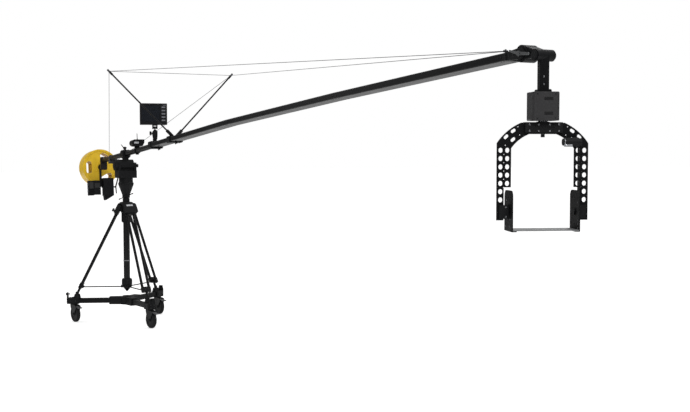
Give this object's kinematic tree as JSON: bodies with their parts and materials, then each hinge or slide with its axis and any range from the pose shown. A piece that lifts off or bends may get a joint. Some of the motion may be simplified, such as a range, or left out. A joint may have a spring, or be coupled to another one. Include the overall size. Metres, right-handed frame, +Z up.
{
  "type": "camera jib crane",
  "caption": "Camera crane on a castored tripod dolly: a long stayed boom with counterweights, monitor and boxes, and a levelled turning head with a perforated yoke and a camera cradle.",
  "frame": {"origin": "on the floor, under the middle of the whole crane in plan", "axes": "+X from the counterweights to the camera head, +Y to the left seen from behind the boom, +Z up"},
  "size_m": [6.8068, 1.0602, 2.1615],
  "materials": {
    "black_metal": "satin black powder coat",
    "cast_black": "black painted casting",
    "tube_black": "black anodised tube",
    "bare_metal": "machined and brushed",
    "bright_steel": "turned steel",
    "yellow_plate": "yellow enamel",
    "wheel_rubber": "matt tread on a dark rim",
    "black_plastic": "fine grained plastic",
    "motor_case": "semi gloss housing",
    "key_grey": "matt keys",
    "cable_steel": "stranded wire"
  },
  "bodies": {
    "base": {"dolly_hub": "cast_black", "dolly_arms": "black_metal", "dolly_ends": "cast_black", "foot_clamps": "black_metal", "crown": "cast_black", "upper_legs": "tube_black", "lower_legs": "tube_black", "leg_feet": "wheel_rubber", "leg_pins": "bright_steel", "spreader_hub": "cast_black", "spreader_bars": "tube_black"},
    "leg_knob": {"leg_knob": "black_plastic"},
    "caster_front": {"caster_fork_front": "black_metal"},
    "wheel_front": {"wheel_front": "wheel_rubber"},
    "pedal_front": {"brake_pedal_front": "bright_steel"},
    "caster_far": {"caster_fork_far": "black_metal"},
    "wheel_far": {"wheel_far": "wheel_rubber"},
    "pedal_far": {"brake_pedal_far": "bright_steel"},
    "caster_near": {"caster_fork_near": "black_metal"},
    "wheel_near": {"wheel_near": "wheel_rubber"},
    "pedal_near": {"brake_pedal_near": "bright_steel"},
    "column": {"column_tube": "tube_black", "bowl_cone": "cast_black"},
    "column_lever": {"column_lever": "black_metal"},
    "bowl_lever": {"bowl_lever": "black_metal"},
    "turntable": {"pan_base": "cast_black"},
    "tilt_knob": {"tilt_knob": "black_plastic"},
    "boom": {"tilt_block": "cast_black", "boom_saddle": "cast_black", "rear_tube": "black_metal", "boom_section_1": "tube_black", "boom_section_2": "tube_black", "boom_section_3": "tube_black", "weight_bar": "bright_steel", "weight_plates": "yellow_plate", "power_box": "black_plastic", "control_box": "black_plastic", "strut_clamp": "cast_black", "struts": "tube_black", "stay_cables": "cable_steel", "monitor_clamp": "cast_black", "receiver_box": "black_plastic", "receiver_clamp": "cast_black", "boom_fork": "cast_black", "levelling_links": "bare_metal"},
    "saddle_lever": {"saddle_lever": "black_metal"},
    "strut_lever": {"strut_lever": "black_metal"},
    "monitor_lever": {"monitor_lever": "black_metal"},
    "weight_collar": {"weight_collar": "bright_steel"},
    "monitor_arm": {"monitor_arm": "cast_black"},
    "monitor": {"monitor_case": "black_plastic"},
    "monitor_keys": {"monitor_keys": "key_grey"},
    "nose": {"nose_block": "cast_black", "head_post": "tube_black", "pan_box": "motor_case"},
    "yoke": {"pan_shaft": "cast_black", "yoke_plate": "tube_black", "tilt_motor": "cast_black"},
    "cradle": {"cradle": "tube_black", "camera_platform": "bare_metal"}
  },
  "joints": [
    {"name": "leg_knob_turn", "type": "hinge", "parent": "base", "child": "leg_knob", "pos_m": [-2.48454, -0.09091, 0.99096], "axis": [-0.3741, -0.8134, 0.4453], "continuous": true},
    {"name": "swivel_front", "type": "hinge", "parent": "base", "child": "caster_front", "pos_m": [-1.97474, 0.04341, 0.1607], "axis": [0, 0, 1], "continuous": true},
    {"name": "roll_front", "type": "hinge", "parent": "caster_front", "child": "wheel_front", "pos_m": [-1.94503, 0.04759, 0.075], "axis": [-0.1392, 0.9903, 0], "continuous": true},
    {"name": "brake_front", "type": "hinge", "parent": "caster_front", "child": "pedal_front", "pos_m": [-1.89651, 0.05441, 0.142], "axis": [-0.1392, 0.9903, 0], "range_deg": [-12, 18]},
    {"name": "swivel_far", "type": "hinge", "parent": "base", "child": "caster_far", "pos_m": [-2.71432, 0.38359, 0.1607], "axis": [0, 0, 1], "continuous": true},
    {"name": "roll_far", "type": "hinge", "parent": "caster_far", "child": "wheel_far", "pos_m": [-2.68461, 0.38776, 0.075], "axis": [-0.1392, 0.9903, 0], "continuous": true},
    {"name": "brake_far", "type": "hinge", "parent": "caster_far", "child": "pedal_far", "pos_m": [-2.63609, 0.39458, 0.142], "axis": [-0.1392, 0.9903, 0], "range_deg": [-12, 18]},
    {"name": "swivel_near", "type": "hinge", "parent": "base", "child": "caster_near", "pos_m": [-2.63913, -0.427, 0.1607], "axis": [0, 0, 1], "continuous": true},
    {"name": "roll_near", "type": "hinge", "parent": "caster_near", "child": "wheel_near", "pos_m": [-2.60942, -0.42282, 0.075], "axis": [-0.1392, 0.9903, 0], "continuous": true},
    {"name": "brake_near", "type": "hinge", "parent": "caster_near", "child": "pedal_near", "pos_m": [-2.5609, -0.416, 0.142], "axis": [-0.1392, 0.9903, 0], "range_deg": [-12, 18]},
    {"name": "column_lift", "type": "slide", "parent": "base", "child": "column", "axis": [0, 0, 1], "range_m": [0, 0.3]},
    {"name": "column_lock", "type": "hinge", "parent": "base", "child": "column_lever", "pos_m": [-2.47044, 0.016, 1.089], "axis": [-0.866, 0.5, 0], "range_deg": [-20, 25]},
    {"name": "bowl_lock", "type": "hinge", "parent": "column", "child": "bowl_lever", "pos_m": [-2.41078, -0.01163, 1.12], "axis": [0.9397, -0.342, 0], "range_deg": [-20, 20]},
    {"name": "boom_pan", "type": "hinge", "parent": "column", "child": "turntable", "pos_m": [-2.44273, 0, 1.283], "axis": [0, 0, 1], "continuous": true},
    {"name": "tilt_drag", "type": "hinge", "parent": "turntable", "child": "tilt_knob", "pos_m": [-2.41273, 0.083, 1.392], "axis": [0, 1, 0], "continuous": true},
    {"name": "boom_tilt", "type": "hinge", "parent": "turntable", "child": "boom", "pos_m": [-2.44273, 0, 1.4], "axis": [0, -1, 0], "range_deg": [-11, 38]},
    {"name": "saddle_lock", "type": "hinge", "parent": "boom", "child": "saddle_lever", "pos_m": [-2.46181, 0, 1.55085], "axis": [0, 1, 0], "range_deg": [-8, 60]},
    {"name": "strut_lock", "type": "hinge", "parent": "boom", "child": "strut_lever", "pos_m": [-1.21777, 0.012, 1.59231], "axis": [-0.0993, 0, 0.9951], "range_deg": [-60, 60]},
    {"name": "monitor_lock", "type": "hinge", "parent": "boom", "child": "monitor_lever", "pos_m": [-1.66411, 0.032, 1.54324], "axis": [-0.0993, 0, 0.9951], "range_deg": [-60, 60]},
    {"name": "collar_slide", "type": "slide", "parent": "boom", "child": "weight_collar", "axis": [-0.9951, 0, -0.0993], "range_m": [0, 0.05]},
    {"name": "monitor_swivel", "type": "hinge", "parent": "boom", "child": "monitor_arm", "pos_m": [-1.68064, 0, 1.61827], "axis": [-0.0993, 0, 0.9951], "range_deg": [-170, 170]},
    {"name": "monitor_tilt", "type": "hinge", "parent": "monitor_arm", "child": "monitor", "pos_m": [-1.67617, 0, 1.71949], "axis": [0.2079, 0.9781, 0], "range_deg": [-45, 45]},
    {"name": "monitor_key_press", "type": "slide", "parent": "monitor", "child": "monitor_keys", "axis": [-0.9781, 0.2079, 0], "range_m": [0, 0.001], "stiffness_N_per_m": 400},
    {"name": "nose_level", "type": "hinge", "parent": "boom", "child": "nose", "pos_m": [3.17398, 0, 1.97357], "axis": [0, -1, 0], "range_deg": [-38, 11]},
    {"name": "head_pan", "type": "hinge", "parent": "nose", "child": "yoke", "pos_m": [3.28398, 0, 1.674], "axis": [0, 0, 1], "continuous": true},
    {"name": "head_tilt", "type": "hinge", "parent": "yoke", "child": "cradle", "pos_m": [3.28398, 0, 1.275], "axis": [0.3907, 0.9205, 0], "range_deg": [-120, 120]}
  ],
  "couplings": [
    {"joint": "nose_level", "follows": "boom_tilt", "ratio": -1}
  ]
}
